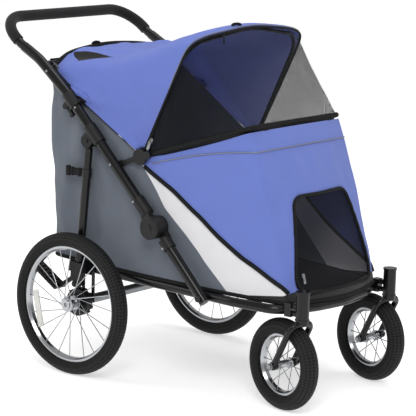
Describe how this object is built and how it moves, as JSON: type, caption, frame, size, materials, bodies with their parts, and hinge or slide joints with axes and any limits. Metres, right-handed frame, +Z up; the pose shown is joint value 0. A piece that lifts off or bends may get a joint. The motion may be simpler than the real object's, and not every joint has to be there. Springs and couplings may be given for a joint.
{
  "type": "pet stroller",
  "caption": "Folding pet stroller with a fabric cabin, mesh screen, fold-back canopy, foam handle, spoked rear wheels and swivelling front casters.",
  "frame": {"origin": "on the floor, under the middle of the whole part", "axes": "+X forward, +Y to the left, +Z up"},
  "size_m": [1.0888, 0.671, 0.9707],
  "materials": {
    "frame_paint": "satin black powder coat",
    "black_plastic": "moulded black",
    "steel": "zinc plated",
    "chrome": "polished",
    "tyre": "moulded tread",
    "foam": "closed foam",
    "blue_cloth": "woven polyester",
    "grey_cloth": "woven polyester",
    "black_mesh": "open mesh",
    "board": "textured board",
    "webbing": "woven tape"
  },
  "bodies": {
    "base": {"base_rail_l": "frame_paint", "base_rail_r": "frame_paint", "base_front": "frame_paint", "caster_arm_l": "frame_paint", "caster_arm_r": "frame_paint", "rear_bracket_l": "frame_paint", "rear_bracket_r": "frame_paint", "rear_axle": "steel", "brake_mount_l": "black_plastic", "brake_mount_r": "black_plastic", "floor_board": "board", "cabin_tub": "grey_cloth", "cabin_upper": "blue_cloth", "door_mesh": "black_mesh"},
    "lower_frame": {"lower_tube_l": "frame_paint", "lower_tube_r": "frame_paint", "hinge_lower_l": "black_plastic", "hinge_lower_r": "black_plastic"},
    "upper_frame": {"upper_tube_l": "frame_paint", "upper_tube_r": "frame_paint", "handle_bar": "frame_paint", "grip": "foam", "hinge_upper_l": "black_plastic", "hinge_upper_r": "black_plastic", "lug_sleeve_l": "black_plastic", "lug_sleeve_r": "black_plastic", "latch_sleeve_l": "black_plastic", "latch_sleeve_r": "black_plastic", "canopy_bracket_l": "black_plastic", "canopy_bracket_r": "black_plastic", "rear_top_bar": "frame_paint", "rim_bow": "black_plastic", "canopy": "blue_cloth", "mesh_screen": "black_mesh"},
    "hoop": {"canopy_hoop": "frame_paint"},
    "legs": {"rear_leg_l": "frame_paint", "rear_leg_r": "frame_paint", "leg_foot_l": "black_plastic", "leg_foot_r": "black_plastic", "leg_strap": "webbing"},
    "button_l": {"hinge_button_l": "steel"},
    "hook_l": {"latch_hook_l": "steel"},
    "pedal_l": {"brake_pedal_l": "black_plastic"},
    "rear_wheel_l": {"tyre_rl": "tyre", "wheel_rl": "chrome", "brake_ring_l": "black_plastic"},
    "caster_l": {"fork_l": "frame_paint"},
    "front_wheel_l": {"tyre_fl": "tyre", "wheel_fl": "chrome"},
    "button_r": {"hinge_button_r": "steel"},
    "hook_r": {"latch_hook_r": "steel"},
    "pedal_r": {"brake_pedal_r": "black_plastic"},
    "rear_wheel_r": {"tyre_rr": "tyre", "wheel_rr": "chrome", "brake_ring_r": "black_plastic"},
    "caster_r": {"fork_r": "frame_paint"},
    "front_wheel_r": {"tyre_fr": "tyre", "wheel_fr": "chrome"}
  },
  "joints": [
    {"name": "frame_fold", "type": "hinge", "parent": "base", "child": "lower_frame", "pos_m": [0.21209, 0, 0.276], "axis": [0, 1, 0], "range_deg": [0, 103.59], "deforming": ["cabin_upper"]},
    {"name": "upper_fold", "type": "hinge", "parent": "lower_frame", "child": "upper_frame", "pos_m": [0.05309, 0, 0.443], "axis": [0, -1, 0], "range_deg": [0, 128.95], "deforming": ["cabin_upper"]},
    {"name": "leg_fold", "type": "hinge", "parent": "base", "child": "legs", "pos_m": [-0.22291, 0, 0.2455], "axis": [0, 1, 0], "range_deg": [0, 50.69], "deforming": ["cabin_upper"]},
    {"name": "canopy_fold", "type": "hinge", "parent": "upper_frame", "child": "hoop", "pos_m": [-0.01691, 0, 0.621], "axis": [0, -1, 0], "range_deg": [0, 72], "deforming": ["canopy", "mesh_screen"]},
    {"name": "button_l_press", "type": "slide", "parent": "upper_frame", "child": "button_l", "axis": [0, -1, 0], "range_m": [0, 0.003], "stiffness_N_per_m": 400, "springref_m": -0.002},
    {"name": "hook_l_turn", "type": "hinge", "parent": "upper_frame", "child": "hook_l", "pos_m": [-0.27077, 0.272, 0.7315], "axis": [0, 1, 0], "range_deg": [0, 35], "stiffness_Nm_per_rad": 0.2, "springref_deg": -11.46},
    {"name": "brake_l_press", "type": "hinge", "parent": "base", "child": "pedal_l", "pos_m": [-0.24891, 0.243, 0.262], "axis": [0, -1, 0], "range_deg": [0, 8], "stiffness_Nm_per_rad": 6, "springref_deg": -5.73},
    {"name": "rear_wheel_l_spin", "type": "hinge", "parent": "base", "child": "rear_wheel_l", "pos_m": [-0.20891, 0.3125, 0.197], "axis": [0, 1, 0], "continuous": true},
    {"name": "caster_l_swivel", "type": "hinge", "parent": "base", "child": "caster_l", "pos_m": [0.48709, 0.2025, 0.28], "axis": [0, 0, 1], "continuous": true},
    {"name": "front_wheel_l_spin", "type": "hinge", "parent": "caster_l", "child": "front_wheel_l", "pos_m": [0.42435, 0.21515, 0.122], "axis": [0.1977, 0.9803, 0], "continuous": true},
    {"name": "button_r_press", "type": "slide", "parent": "upper_frame", "child": "button_r", "axis": [0, 1, 0], "range_m": [0, 0.003], "stiffness_N_per_m": 400, "springref_m": -0.002},
    {"name": "hook_r_turn", "type": "hinge", "parent": "upper_frame", "child": "hook_r", "pos_m": [-0.27077, -0.272, 0.7315], "axis": [0, 1, 0], "range_deg": [0, 35], "stiffness_Nm_per_rad": 0.2, "springref_deg": -11.46},
    {"name": "brake_r_press", "type": "hinge", "parent": "base", "child": "pedal_r", "pos_m": [-0.24891, -0.243, 0.262], "axis": [0, -1, 0], "range_deg": [0, 8], "stiffness_Nm_per_rad": 6, "springref_deg": -5.73},
    {"name": "rear_wheel_r_spin", "type": "hinge", "parent": "base", "child": "rear_wheel_r", "pos_m": [-0.20891, -0.3125, 0.197], "axis": [0, 1, 0], "continuous": true},
    {"name": "caster_r_swivel", "type": "hinge", "parent": "base", "child": "caster_r", "pos_m": [0.48709, -0.2025, 0.28], "axis": [0, 0, 1], "continuous": true},
    {"name": "front_wheel_r_spin", "type": "hinge", "parent": "caster_r", "child": "front_wheel_r", "pos_m": [0.42435, -0.18985, 0.122], "axis": [0.1977, 0.9803, 0], "continuous": true}
  ],
  "couplings": [
    {"joint": "upper_fold", "follows": "frame_fold", "ratio": 1.24},
    {"joint": "leg_fold", "follows": "frame_fold", "ratio": 0.4845}
  ]
}
